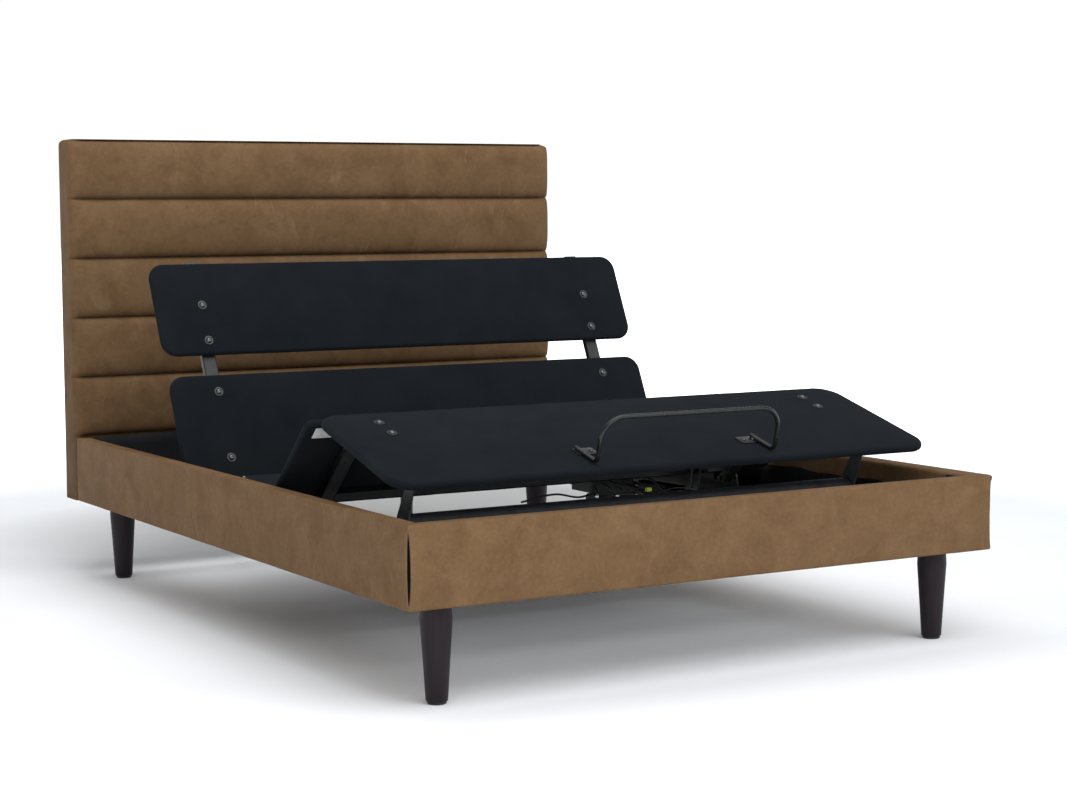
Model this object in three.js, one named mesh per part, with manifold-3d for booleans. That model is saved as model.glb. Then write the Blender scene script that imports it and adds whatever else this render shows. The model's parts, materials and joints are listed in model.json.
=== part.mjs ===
// Upholstered queen bed with a powered adjustable base, shown with both ends of the deck raised.
// Millimetres, +Z up, +X to the sleeper's left as seen from the foot, headboard towards +Y.
// The origin is on the floor, under the centre of the whole bed.
import * as THREE from 'three';
import { mergeVertices } from 'three/addons/utils/BufferGeometryUtils.js';
import Module from 'manifold-3d';

const wasm = await Module();
wasm.setup();

// ---------- driving dimensions ----------
const GAP = 0.3;                    // kept between separate pieces that touch

const HALF_WIDTH = 820;             // outside of the upholstery
const HALF_LENGTH = 1135;
const RAIL_THICK = 50;
const RAIL_LOW = 227;
const RAIL_HIGH = 415.5;
const HEADBOARD_TOP = 1298;
const HEADBOARD_FRONT = 1025;
const CHANNEL_COUNT = 5;
const CHANNEL_LOW = 418;
const SEAM_DEPTH = 18;

const LEG_X_FRONT = 704;
const LEG_X_REAR = 712;
const LEG_Y_FRONT = -1042;
const LEG_Y_REAR = 940;

const DECK_HALF_WIDTH = 762;
const PANEL_THICK = 20;
const PIVOT_HEIGHT = 332.5;
const PANEL_RISE = 12.5;            // from a pivot's axis up to the underside of its panel
const DECK_TOP = PIVOT_HEIGHT + PANEL_RISE + PANEL_THICK;
const SEAT_FRONT = -242;
const SEAT_REAR = 270;

const THIGH_PIVOT_Y = -262;
const BACK_PIVOT_Y = 302;
const THIGH_LENGTH = 354;           // thigh pivot to knee pivot
const LEG_LENGTH = 455;             // knee pivot to the foot edge of the leg panel
const BACK_ANGLE = 64.8;
const THIGH_ANGLE = 42.5;
const LEG_ANGLE = 15.6;
const LINK_PIVOT_Y = -716;
const LINK_ON_LEG = [-313.6, -16];  // upper link pivot, in the leg section's own frame

const ARM_X = 624;                  // centre of the tubes that carry the panels
const ARM_WIDTH = 40;
const ARM_HEIGHT = 20;
const ARM_LOW = PANEL_RISE - GAP - ARM_HEIGHT;
const SIDE_TUBE_X = 670;
const FRAME_TUBE = 30;
const FRAME_LOW = 262;
const FRAME_HIGH = FRAME_LOW + FRAME_TUBE;
const EAR_IN = 650;
const EAR_OUT = 656;
const WALL = 2;

const HEAD_ACTUATOR_X = 566;
const FOOT_ACTUATOR_X = 484;
const HEAD_ACTUATOR_BASE = [-305, 285];
const FOOT_ACTUATOR_BASE = [360, 285];
const CRANK_RADIUS = 72;
const HEAD_CRANK_FLAT = 30;         // crank's lean ahead of straight down when the deck is flat
const FOOT_CRANK_FLAT = 21.25;

// ---------- small helpers ----------
const rad = THREE.MathUtils.degToRad;

function turned([y, z], angle) {
  const c = Math.cos(rad(angle));
  const s = Math.sin(rad(angle));
  return [y * c - z * s, y * s + z * c];
}

function plus(a, b) {
  return [a[0] + b[0], a[1] + b[1]];
}

// joint positions in the Y-Z plane, worked out from the lengths above
const thighPivot = [THIGH_PIVOT_Y, PIVOT_HEIGHT];
const backPivot = [BACK_PIVOT_Y, PIVOT_HEIGHT];
const kneeRaised = plus(thighPivot, turned([-THIGH_LENGTH, 0], -THIGH_ANGLE));
const kneeFlat = plus(thighPivot, [-THIGH_LENGTH, 0]);
const linkTopRaised = plus(kneeRaised, turned(LINK_ON_LEG, LEG_ANGLE));
const linkTopFlat = plus(kneeFlat, LINK_ON_LEG);

// the lower link pivot is as far from the raised upper pivot as from the flat one
function lowerLinkPivot() {
  const [y1, z1] = linkTopRaised;
  const [y2, z2] = linkTopFlat;
  const d1 = y1 - LINK_PIVOT_Y;
  const d2 = y2 - LINK_PIVOT_Y;
  return [LINK_PIVOT_Y, (d1 * d1 + z1 * z1 - d2 * d2 - z2 * z2) / (2 * (z1 - z2))];
}
const linkPivot = lowerLinkPivot();
const linkReach = [linkTopRaised[0] - linkPivot[0], linkTopRaised[1] - linkPivot[1]];
const LINK_LENGTH = Math.hypot(...linkReach);
const LINK_ANGLE = THREE.MathUtils.radToDeg(Math.atan2(linkReach[1], -linkReach[0]));

function toSolid(geometry) {
  const bare = geometry.clone();
  bare.deleteAttribute('normal');
  bare.deleteAttribute('uv');
  const merged = mergeVertices(bare, 1e-3);
  return new wasm.Manifold(new wasm.Mesh({
    numProp: 3,
    vertProperties: merged.attributes.position.array,
    triVerts: Uint32Array.from(merged.index.array),
  }));
}

function toGeometry(solid) {
  const mesh = solid.getMesh();
  const geometry = new THREE.BufferGeometry();
  geometry.setAttribute('position', new THREE.BufferAttribute(mesh.vertProperties.slice(), 3));
  geometry.setIndex(new THREE.BufferAttribute(mesh.triVerts.slice(), 1));
  geometry.computeVertexNormals();
  return geometry;
}

// joins the geometries in `solids` and cuts the ones in `holes` out of them
function weld(solids, holes = []) {
  let whole = toSolid(solids[0]);
  for (const piece of solids.slice(1)) whole = whole.add(toSolid(piece));
  for (const hole of holes) whole = whole.subtract(toSolid(hole));
  return toGeometry(whole);
}

function box(x0, x1, y0, y1, z0, z1) {
  const geometry = new THREE.BoxGeometry(x1 - x0, y1 - y0, z1 - z0);
  return geometry.translate((x0 + x1) / 2, (y0 + y1) / 2, (z0 + z1) / 2);
}

// a flat outline pushed along X, Y or Z; its two coordinates are the other two, in X, Y, Z order
function alongX(shape, x0, x1, segments = 2) {
  const geometry = new THREE.ExtrudeGeometry(shape, options(x1 - x0, segments));
  geometry.applyMatrix4(basis([0, 1, 0], [0, 0, 1], [1, 0, 0]));
  return geometry.translate(x0, 0, 0);
}

function alongY(shape, y0, y1, segments = 2) {
  const geometry = new THREE.ExtrudeGeometry(shape, options(y1 - y0, segments));
  geometry.applyMatrix4(basis([1, 0, 0], [0, 0, 1], [0, -1, 0]));
  return geometry.translate(0, y1, 0);
}

function alongZ(shape, z0, z1, segments = 4) {
  return new THREE.ExtrudeGeometry(shape, options(z1 - z0, segments)).translate(0, 0, z0);
}

function options(depth, curveSegments) {
  return { depth, curveSegments, bevelEnabled: false };
}

function basis(u, v, w) {
  return new THREE.Matrix4().makeBasis(new THREE.Vector3(...u), new THREE.Vector3(...v),
    new THREE.Vector3(...w));
}

function roundedRect(a0, a1, b0, b1, r, target = new THREE.Shape()) {
  target.moveTo(a0 + r, b0);
  target.lineTo(a1 - r, b0);
  target.absarc(a1 - r, b0 + r, r, -Math.PI / 2, 0, false);
  target.lineTo(a1, b1 - r);
  target.absarc(a1 - r, b1 - r, r, 0, Math.PI / 2, false);
  target.lineTo(a0 + r, b1);
  target.absarc(a0 + r, b1 - r, r, Math.PI / 2, Math.PI, false);
  target.lineTo(a0, b0 + r);
  target.absarc(a0 + r, b0 + r, r, Math.PI, 1.5 * Math.PI, false);
  return target;
}

function hollowRect(a0, a1, b0, b1, r, wall) {
  const shape = roundedRect(a0, a1, b0, b1, r);
  shape.holes.push(roundedRect(a0 + wall, a1 - wall, b0 + wall, b1 - wall,
    Math.max(r - wall, 0.5), new THREE.Path()));
  return shape;
}

function polygon(points) {
  return new THREE.Shape(points.map(([a, b]) => new THREE.Vector2(a, b)));
}

function pinX(radius, x0, x1, [y, z], sides = 16) {
  const geometry = new THREE.CylinderGeometry(radius, radius, x1 - x0, sides);
  return geometry.rotateZ(Math.PI / 2).translate((x0 + x1) / 2, y, z);
}

function mirrored(geometry, side) {
  if (side > 0) return geometry;
  const copy = geometry.index ? geometry.toNonIndexed() : geometry.clone();
  copy.scale(-1, 1, 1);
  const position = copy.attributes.position.array;
  for (let i = 0; i < position.length; i += 9) {
    for (let k = 0; k < 3; k += 1) {
      [position[i + 3 + k], position[i + 6 + k]] = [position[i + 6 + k], position[i + 3 + k]];
    }
  }
  copy.computeVertexNormals();
  return copy;
}

const SIDES = [['left', -1], ['right', 1]];

// ---------- materials ----------
const leather = new THREE.MeshStandardMaterial({ color: 0x8a6a45, roughness: 0.55 });
const lining = new THREE.MeshStandardMaterial({ color: 0x17181a, roughness: 0.95 });
const deckCloth = new THREE.MeshStandardMaterial({ color: 0x212428, roughness: 0.95 });
const boardWood = new THREE.MeshStandardMaterial({ color: 0xb08a5e, roughness: 0.8 });
const legWood = new THREE.MeshStandardMaterial({ color: 0x2e2628, roughness: 0.5 });
const frameSteel = new THREE.MeshStandardMaterial({ color: 0x24262a, roughness: 0.45, metalness: 0.6 });
const linkSteel = new THREE.MeshStandardMaterial({ color: 0x3a3c40, roughness: 0.4, metalness: 0.6 });
const rodSteel = new THREE.MeshStandardMaterial({ color: 0xb9bcc0, roughness: 0.25, metalness: 0.9 });
const blackPlastic = new THREE.MeshStandardMaterial({ color: 0x141517, roughness: 0.6 });
const greyPlastic = new THREE.MeshStandardMaterial({ color: 0x6d7074, roughness: 0.6 });
const cableRubber = new THREE.MeshStandardMaterial({ color: 0x101112, roughness: 0.7 });

// ---------- bodies ----------
const bed = new THREE.Group();

function body([y, z], angle) {
  const group = new THREE.Group();
  group.position.set(0, y, z);
  group.rotation.x = rad(angle);
  bed.add(group);
  return group;
}

const backSection = body(backPivot, BACK_ANGLE);
const thighSection = body(thighPivot, -THIGH_ANGLE);
const legSection = body(kneeRaised, LEG_ANGLE);
const footLink = body(linkPivot, -LINK_ANGLE);

function add(group, name, geometry, material) {
  const mesh = new THREE.Mesh(geometry, material);
  mesh.name = name;
  group.add(mesh);
}

// ---------- headboard ----------
const COVER_BACK = HEADBOARD_FRONT + 55;

function channelOutline() {
  const stepsPerChannel = 8;
  const pitch = (HEADBOARD_TOP - CHANNEL_LOW) / CHANNEL_COUNT;
  const points = [[COVER_BACK, CHANNEL_LOW]];
  for (let i = 0; i <= CHANNEL_COUNT * stepsPerChannel; i += 1) {
    const across = (i % stepsPerChannel) / stepsPerChannel;
    const swell = 1 - Math.abs(2 * across - 1) ** 4;
    points.push([HEADBOARD_FRONT + SEAM_DEPTH * (1 - swell), CHANNEL_LOW + pitch * i / stepsPerChannel]);
  }
  points.push([COVER_BACK, HEADBOARD_TOP]);
  return polygon(points.reverse());
}

function addHeadboard() {
  add(bed, 'headboard_core', alongY(roundedRect(-HALF_WIDTH, HALF_WIDTH, RAIL_LOW, HEADBOARD_TOP, 12),
    COVER_BACK + GAP, HALF_LENGTH), boardWood);
  add(bed, 'headboard_cover', alongX(channelOutline(), -HALF_WIDTH, HALF_WIDTH), leather);
  add(bed, 'headboard_lining', box(-HALF_WIDTH, HALF_WIDTH, HEADBOARD_FRONT + 2, COVER_BACK,
    RAIL_LOW, CHANNEL_LOW - GAP), lining);
}

// ---------- rails ----------
// each rail is a board inside an open-ended sleeve of foam and leather
const SLEEVE_WALL = 7;
const BOARD_ROUND = 4;

function addRails() {
  const outer = [HALF_WIDTH - RAIL_THICK, HALF_WIDTH, RAIL_LOW, RAIL_HIGH];
  const inset = (d) => [outer[0] + d, outer[1] - d, outer[2] + d, outer[3] - d];
  const y0 = -HALF_LENGTH + RAIL_THICK + 1;
  const y1 = HEADBOARD_FRONT - 1;
  for (const [side, sign] of SIDES) {
    add(bed, `side_rail_cover_${side}`,
      mirrored(alongY(hollowRect(...outer, 10, SLEEVE_WALL), y0, y1), sign), leather);
    add(bed, `side_rail_board_${side}`,
      mirrored(alongY(roundedRect(...inset(SLEEVE_WALL + GAP), BOARD_ROUND), y0 + 2, y1 - 2), sign),
      boardWood);
  }
  const across = [-HALF_LENGTH, -HALF_LENGTH + RAIL_THICK, RAIL_LOW, RAIL_HIGH];
  const boardInset = SLEEVE_WALL + GAP;
  add(bed, 'footboard_cover', alongX(hollowRect(...across, 10, SLEEVE_WALL),
    -HALF_WIDTH, HALF_WIDTH), leather);
  add(bed, 'footboard_board', alongX(roundedRect(across[0] + boardInset, across[1] - boardInset,
    across[2] + boardInset, across[3] - boardInset, BOARD_ROUND), -HALF_WIDTH + 3, HALF_WIDTH - 3),
  boardWood);
}

// ---------- corner hardware, legs ----------
const INNER_X = HALF_WIDTH - RAIL_THICK - GAP;
const INNER_FOOT_Y = -HALF_LENGTH + RAIL_THICK + GAP;
const BLOCK_HIGH = FRAME_LOW - GAP;
const LEG_TOP = RAIL_LOW - GAP;
const GLIDE_HIGH = 6;

function addCornerBrackets() {
  const thick = 4;
  const reach = 64;
  const shape = polygon([[INNER_X, INNER_FOOT_Y], [INNER_X, INNER_FOOT_Y + reach],
    [INNER_X - thick, INNER_FOOT_Y + reach], [INNER_X - thick, INNER_FOOT_Y + thick],
    [INNER_X - reach, INNER_FOOT_Y + thick], [INNER_X - reach, INNER_FOOT_Y]]);
  for (const [side, sign] of SIDES) {
    add(bed, `corner_bracket_${side}`, mirrored(alongZ(shape, BLOCK_HIGH + GAP, 408), sign), frameSteel);
  }
}

function legGeometry() {
  const profile = [[0, GLIDE_HIGH + GAP], [25, GLIDE_HIGH + GAP], [36.5, 186], [36.5, 192],
    [35, LEG_TOP], [0, LEG_TOP]];
  return new THREE.LatheGeometry(profile.map(([r, z]) => new THREE.Vector2(r, z)), 28)
    .rotateX(Math.PI / 2);
}

function addLegs() {
  for (const [side, sign] of SIDES) {
    for (const end of ['front', 'rear']) {
      const x = sign * (end === 'front' ? LEG_X_FRONT : LEG_X_REAR);
      const y = end === 'front' ? LEG_Y_FRONT : LEG_Y_REAR;
      const y0 = end === 'front' ? INNER_FOOT_Y : LEG_Y_REAR - 60;
      const glide = new THREE.CylinderGeometry(22, 21, GLIDE_HIGH, 24).rotateX(Math.PI / 2);
      add(bed, `corner_block_${end}_${side}`,
        mirrored(box(648, INNER_X, y0, y0 + 110, RAIL_LOW, BLOCK_HIGH), sign), boardWood);
      add(bed, `leg_${end}_${side}`, legGeometry().translate(x, y, 0), legWood);
      add(bed, `leg_glide_${end}_${side}`, glide.translate(x, y, GLIDE_HIGH / 2), blackPlastic);
    }
  }
}

// a steel prop under the middle of the base, bolted to a cross tube by a plate at its top
const PROP_Y = 482;
const PROP_RADIUS = 18;
const PROP_PLATE = 6;

function addSupportLeg() {
  const top = FRAME_LOW - GAP;
  const profile = [[0, 0], [22, 0], [22, 4], [PROP_RADIUS, 10], [PROP_RADIUS, top - 3], [0, top - 3]];
  const post = new THREE.LatheGeometry(profile.map(([r, z]) => new THREE.Vector2(r, z)), 24)
    .rotateX(Math.PI / 2).translate(0, PROP_Y, 0);
  const plate = box(-30, 30, 375, PROP_Y + 24, top - PROP_PLATE, top);
  add(bed, 'support_leg', weld([post, plate]), frameSteel);
}

// ---------- base frame ----------
const LEDGER_LOW = 238;
const CROSS_END = SIDE_TUBE_X - FRAME_TUBE / 2 - GAP;
const SEAT_TUBE_LOW = DECK_TOP - PANEL_THICK - GAP - ARM_HEIGHT;
const SEAT_TUBE_HIGH = DECK_TOP - PANEL_THICK - GAP;
const PIN = 6;
const BORE = 6.4;
const EAR = 11.5;
const LINK_PIN = 5;
const LINK_BORE = 5.5;
const ACTUATOR_BORE = 5.4;
const EAR_FOOT_LOW = FRAME_LOW + 8;
const SIDE_TUBE_FOOT = -1015;
const SIDE_TUBE_HEAD = 915;

// an upright plate: straight foot on the frame tube, round top about a pivot
function ear([y, z], footHalf, radius) {
  const shape = new THREE.Shape();
  shape.moveTo(y - footHalf, EAR_FOOT_LOW);
  shape.lineTo(y + footHalf, EAR_FOOT_LOW);
  shape.lineTo(y + radius, z);
  shape.absarc(y, z, radius, 0, Math.PI, false);
  shape.lineTo(y - footHalf, EAR_FOOT_LOW);
  return alongX(shape, EAR_IN, EAR_OUT);
}

function baseSide() {
  const half = FRAME_TUBE / 2;
  const tube = alongY(hollowRect(SIDE_TUBE_X - half, SIDE_TUBE_X + half, FRAME_LOW, FRAME_HIGH, 3, WALL),
    SIDE_TUBE_FOOT, SIDE_TUBE_HEAD);
  const web = alongX(polygon([[SEAT_FRONT + 2, EAR_FOOT_LOW], [SEAT_REAR - 2, EAR_FOOT_LOW],
    [SEAT_REAR - 4, SEAT_TUBE_HIGH], [SEAT_FRONT + 4, SEAT_TUBE_HIGH]]), EAR_IN, EAR_OUT);
  const seatTube = box(ARM_X - ARM_WIDTH / 2, EAR_IN + 1, SEAT_FRONT + 12, SEAT_REAR - 8,
    SEAT_TUBE_LOW, SEAT_TUBE_HIGH);
  return weld([tube, web, seatTube, ear(thighPivot, 26, EAR), ear(backPivot, 40, EAR),
    ear(linkPivot, 26, 10),
    pinX(PIN, ARM_X - 26, EAR_OUT - 1, thighPivot), pinX(PIN, ARM_X - 26, EAR_OUT - 1, backPivot),
    pinX(LINK_PIN, 642, EAR_OUT - 1, linkPivot)]);
}

function crossTube(y0) {
  return alongX(hollowRect(y0, y0 + FRAME_TUBE, FRAME_LOW, FRAME_HIGH, 3, WALL), -CROSS_END, CROSS_END);
}

// cross tube with a forked bracket and a pin for an actuator's rear eye
function crossTubeWithFork(y0, x, [y, z]) {
  const toPin = y > y0 ? 1 : -1;
  const face = toPin > 0 ? y0 + FRAME_TUBE - 1 : y0 + 1;
  const cheek = polygon([[face, FRAME_LOW + 6], [y, z - 12], [y + 12 * toPin, z - 6],
    [y + 12 * toPin, z + 6], [y, z + 12], [face, FRAME_HIGH + 2]]);
  const ordered = toPin > 0 ? cheek : polygon(cheek.getPoints().reverse().map((p) => [p.x, p.y]));
  return weld([crossTube(y0), alongX(ordered, x - 18.5, x - 12.5), alongX(ordered, x + 12.5, x + 18.5),
    pinX(LINK_PIN, x - 21, x + 21, [y, z])]);
}

function addBaseFrame() {
  for (const [side, sign] of SIDES) {
    add(bed, `ledger_${side}`,
      mirrored(box(650, INNER_X, INNER_FOOT_Y + 112, LEG_Y_REAR - 62, LEDGER_LOW, BLOCK_HIGH), sign),
      boardWood);
    add(bed, `base_side_${side}`, mirrored(baseSide(), sign), frameSteel);
  }
  add(bed, 'cross_tube_foot', crossTube(-1000), frameSteel);
  add(bed, 'cross_tube_thigh', crossTubeWithFork(-350, HEAD_ACTUATOR_X, HEAD_ACTUATOR_BASE), frameSteel);
  add(bed, 'cross_tube_back', crossTubeWithFork(375, FOOT_ACTUATOR_X, FOOT_ACTUATOR_BASE), frameSteel);
  add(bed, 'cross_tube_head', crossTube(880), frameSteel);
}

// ---------- deck panels ----------
function panel(y0, y1, radius) {
  return alongZ(roundedRect(-DECK_HALF_WIDTH, DECK_HALF_WIDTH, y0, y1, radius),
    PANEL_RISE, PANEL_RISE + PANEL_THICK);
}

function armTube(y0, y1) {
  return alongY(hollowRect(ARM_X - ARM_WIDTH / 2, ARM_X + ARM_WIDTH / 2, ARM_LOW,
    ARM_LOW + ARM_HEIGHT, 4, WALL), y0, y1);
}

function bore(x0, x1, centre, radius = BORE) {
  return pinX(radius, x0, x1, centre);
}

const ARM_IN = ARM_X - ARM_WIDTH / 2;
const ARM_OUT = ARM_X + ARM_WIDTH / 2;

// cross tube between two arms, with a forked crank hanging from it for an actuator rod
function crankTube(y0, x, tip) {
  const tube = alongX(hollowRect(y0, y0 + FRAME_TUBE, ARM_LOW, ARM_LOW + ARM_HEIGHT, 3, WALL),
    -ARM_IN + GAP, ARM_IN - GAP);
  const cheeks = [];
  for (const x0 of [x - 16.5, x + 10.5]) {
    const shape = polygon(crankOutline(y0, tip));
    cheeks.push(alongX(shape, x0, x0 + 6));
  }
  return weld([tube, ...cheeks]);
}

// the crank is a hull: the foot under its tube, and a rounded tip
function crankOutline(y0, [y, z]) {
  const points = [];
  const lean = Math.atan2(ARM_LOW - z, y0 + FRAME_TUBE / 2 - y);
  for (let i = 0; i <= 8; i += 1) {
    const a = lean + Math.PI / 2 + Math.PI * i / 8;
    points.push([y + 12 * Math.cos(a), z + 12 * Math.sin(a)]);
  }
  points.push([y0 + FRAME_TUBE - 2, ARM_LOW + 1]);
  points.push([y0 + 2, ARM_LOW + 1]);
  const shape = polygon(points);
  return THREE.ShapeUtils.isClockWise(shape.getPoints()) ? points.reverse() : points;
}

function addSeat() {
  add(bed, 'seat_panel', alongZ(roundedRect(-DECK_HALF_WIDTH, DECK_HALF_WIDTH, SEAT_FRONT, SEAT_REAR, 14),
    DECK_TOP - PANEL_THICK, DECK_TOP), deckCloth);
}

const HEAD_ARM_END = 655;
const backCrank = turned([0, -CRANK_RADIUS], -HEAD_CRANK_FLAT);
const thighCrank = turned([0, -CRANK_RADIUS], FOOT_CRANK_FLAT);

function addBackSection() {
  add(backSection, 'back_panel', panel(10, 318.5, 45), deckCloth);
  add(backSection, 'head_panel', panel(379.5, 654.5, 45), deckCloth);
  for (const [side, sign] of SIDES) {
    const arm = weld([armTube(-12, HEAD_ARM_END)], [bore(ARM_IN - 2, ARM_OUT + 2, [0, 0])]);
    const cap = alongY(roundedRect(ARM_IN - 1, ARM_OUT + 1, ARM_LOW - 1, ARM_LOW + ARM_HEIGHT + 1, 5),
      HEAD_ARM_END + GAP, HEAD_ARM_END + 8);
    add(backSection, `back_arm_${side}`, mirrored(arm, sign), frameSteel);
    add(backSection, `back_arm_cap_${side}`, mirrored(cap, sign), blackPlastic);
  }
  add(backSection, 'back_crank_tube', crankTube(45, HEAD_ACTUATOR_X, backCrank), frameSteel);
}

const KNEE_PLATE_IN = ARM_OUT - 1;
const KNEE_PLATE_OUT = 649;

function addThighSection() {
  add(thighSection, 'thigh_panel', panel(-THIGH_LENGTH + 10, -10, 20), deckCloth);
  const knee = [-THIGH_LENGTH, 0];
  for (const [side, sign] of SIDES) {
    const tongue = new THREE.Shape();
    tongue.moveTo(-THIGH_LENGTH, -EAR);
    tongue.lineTo(-260, ARM_LOW);
    tongue.lineTo(-260, EAR);
    tongue.lineTo(-THIGH_LENGTH, EAR);
    tongue.absarc(-THIGH_LENGTH, 0, EAR, Math.PI / 2, 1.5 * Math.PI, false);
    const spacer = box(KNEE_PLATE_IN, ARM_OUT + 1.6, -THIGH_LENGTH + 30, -260, ARM_LOW, EAR);
    const arm = weld([armTube(-THIGH_LENGTH + 30, 12), spacer,
      alongX(tongue, ARM_OUT + 1.2, KNEE_PLATE_OUT), pinX(PIN, ARM_X - 26, KNEE_PLATE_OUT - 1, knee)],
    [bore(ARM_IN - 2, ARM_OUT + 0.6, [0, 0])]);
    add(thighSection, `thigh_arm_${side}`, mirrored(arm, sign), frameSteel);
  }
  add(thighSection, 'thigh_crank_tube', crankTube(-75, FOOT_ACTUATOR_X, thighCrank), frameSteel);
}

// ---------- leg section and mattress retainer ----------
const RETAINER_LEFT = -228;
const RETAINER_RIGHT = 281;
const RETAINER_FOOT_Y = -430;
const RETAINER_REAR_Y = -332;
const RETAINER_RISE = 118;
const RETAINER_ROD = 5.5;
const RETAINER_BEND = 58;
const PLATE_THICK = 3;

function retainerBar() {
  const base = PANEL_RISE + PANEL_THICK + GAP + PLATE_THICK + RETAINER_ROD - 1;
  const top = PANEL_RISE + PANEL_THICK + RETAINER_RISE;
  const small = 14;
  const path = new THREE.CurvePath();
  const v = (x, y, z) => new THREE.Vector3(x, y, z);
  const line = (a, b) => path.add(new THREE.LineCurve3(a, b));
  const bend = (a, b, c) => path.add(new THREE.QuadraticBezierCurve3(a, b, c));
  const [l, r, f] = [RETAINER_LEFT, RETAINER_RIGHT, RETAINER_FOOT_Y];
  line(v(l, RETAINER_REAR_Y, base), v(l, f + small, base));
  bend(v(l, f + small, base), v(l, f, base), v(l, f, base + small));
  line(v(l, f, base + small), v(l, f, top - RETAINER_BEND));
  bend(v(l, f, top - RETAINER_BEND), v(l, f, top), v(l + RETAINER_BEND, f, top));
  line(v(l + RETAINER_BEND, f, top), v(r - RETAINER_BEND, f, top));
  bend(v(r - RETAINER_BEND, f, top), v(r, f, top), v(r, f, top - RETAINER_BEND));
  line(v(r, f, top - RETAINER_BEND), v(r, f, base + small));
  bend(v(r, f, base + small), v(r, f, base), v(r, f + small, base));
  line(v(r, f + small, base), v(r, RETAINER_REAR_Y, base));
  const section = new THREE.Shape().absarc(0, 0, RETAINER_ROD, 0, 2 * Math.PI, false);
  const rod = new THREE.ExtrudeGeometry(section, { steps: 72, curveSegments: 4, extrudePath: path });
  const low = PANEL_RISE + PANEL_THICK + GAP;
  const plate = (x0, x1) => alongZ(roundedRect(x0, x1, RETAINER_REAR_Y - 34, RETAINER_REAR_Y + 6, 6),
    low, low + PLATE_THICK);
  return weld([rod, plate(l - 8, l + 46), plate(r - 46, r + 8)]);
}

const LEG_ARM_FOOT = -345;
const LEG_ARM_END = 9;              // short of the thigh panel when the knee opens flat
const SLOT_PIN = 4;

function addLegSection() {
  add(legSection, 'leg_panel', panel(-LEG_LENGTH, -10, 60), deckCloth);
  const [pinY, pinZ] = LINK_ON_LEG;
  for (const [side, sign] of SIDES) {
    const lug = alongX(polygon([[pinY - 12, pinZ - 9], [pinY + 12, pinZ - 9], [pinY + 22, ARM_LOW + 1],
      [pinY - 22, ARM_LOW + 1]]), ARM_OUT - 6, ARM_OUT);
    const arm = weld([armTube(LEG_ARM_FOOT, LEG_ARM_END), lug, pinX(SLOT_PIN, ARM_OUT - 3, 652, LINK_ON_LEG)],
      [bore(ARM_IN - 2, ARM_OUT + 2, [0, 0])]);
    add(legSection, `leg_arm_${side}`, mirrored(arm, sign), frameSteel);
  }
  add(legSection, 'retainer_bar', retainerBar(), linkSteel);
}

// ---------- foot link ----------
// the upper pin rides in a short slot
const LINK_PLATE_IN = 645.5;
const LINK_PLATE_OUT = 649.5;
const CROSSBAR_RADIUS = 19;
const CROSSBAR = [-100.7, -11.7];   // in the link's own frame, lower pivot to upper pivot along -Y
const SLOT_RADIUS = 6.3;
const SLOT_NEAR = [-0.6, -0.2];     // slot ends, from the upper pivot
const SLOT_FAR = [-2.7, -7.7];
const LINK_NOSE = 13.5;

function linkArm() {
  const tip = -LINK_LENGTH;
  const outline = new THREE.Shape();
  outline.moveTo(11, -4);
  outline.absarc(0, 0, 12, 0, Math.PI / 2, false);
  outline.lineTo(CROSSBAR[0], 18);
  outline.lineTo(tip, LINK_NOSE);
  outline.absarc(tip, 0, LINK_NOSE, Math.PI / 2, Math.PI, false);
  outline.lineTo(tip - 12, -16);
  outline.lineTo(tip + 2, -23);
  outline.lineTo(tip + 14, -21);
  outline.lineTo(CROSSBAR[0] - 20, CROSSBAR[1] - 22);
  outline.lineTo(CROSSBAR[0] + 22, CROSSBAR[1] - 24);
  outline.lineTo(4, -12);
  const lean = Math.atan2(SLOT_FAR[0] - SLOT_NEAR[0], SLOT_NEAR[1] - SLOT_FAR[1]);
  const slot = new THREE.Path();
  slot.absarc(tip + SLOT_NEAR[0], SLOT_NEAR[1], SLOT_RADIUS, lean, lean + Math.PI, false);
  slot.absarc(tip + SLOT_FAR[0], SLOT_FAR[1], SLOT_RADIUS, lean + Math.PI, lean + 2 * Math.PI, false);
  outline.holes.push(slot);
  return weld([alongX(outline, LINK_PLATE_IN, LINK_PLATE_OUT)],
    [bore(LINK_PLATE_IN - 1, LINK_PLATE_OUT + 1, [0, 0], LINK_BORE)]);
}

function crossbarCable() {
  const lift = CROSSBAR_RADIUS + 3.2;
  const route = [[-330, -6, 1], [-310, 2, 6], [-285, 8, 12], [-262, 8, 15], [-238, 6, 15], [-214, 2, 11],
    [-190, -2, 5], [-168, -4, 2], [-146, -2, 5], [-122, 3, 9], [-98, 5, 9], [-76, 2, 5], [-56, -3, 1]];
  const toLocal = (x, forward, rise) => {
    const [y, z] = turned([-forward, lift + rise], LINK_ANGLE);
    return new THREE.Vector3(x, CROSSBAR[0] + y, CROSSBAR[1] + z);
  };
  const path = new THREE.CatmullRomCurve3(route.map((p) => toLocal(...p)));
  const section = new THREE.Shape().absarc(0, 0, 2.5, 0, 2 * Math.PI, false);
  return new THREE.ExtrudeGeometry(section, { steps: 32, curveSegments: 4, extrudePath: path });
}

function addFootLink() {
  for (const [side, sign] of SIDES) {
    add(footLink, `foot_link_arm_${side}`, mirrored(linkArm(), sign), linkSteel);
  }
  add(footLink, 'foot_link_crossbar', pinX(CROSSBAR_RADIUS, -LINK_PLATE_IN + GAP, LINK_PLATE_IN - GAP,
    CROSSBAR, 28), linkSteel);
  add(footLink, 'crossbar_cable', crossbarCable(), cableRubber);
}

// ---------- actuators ----------
const HOUSING_LENGTH = 380;
const ROD_RADIUS = 9;

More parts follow.
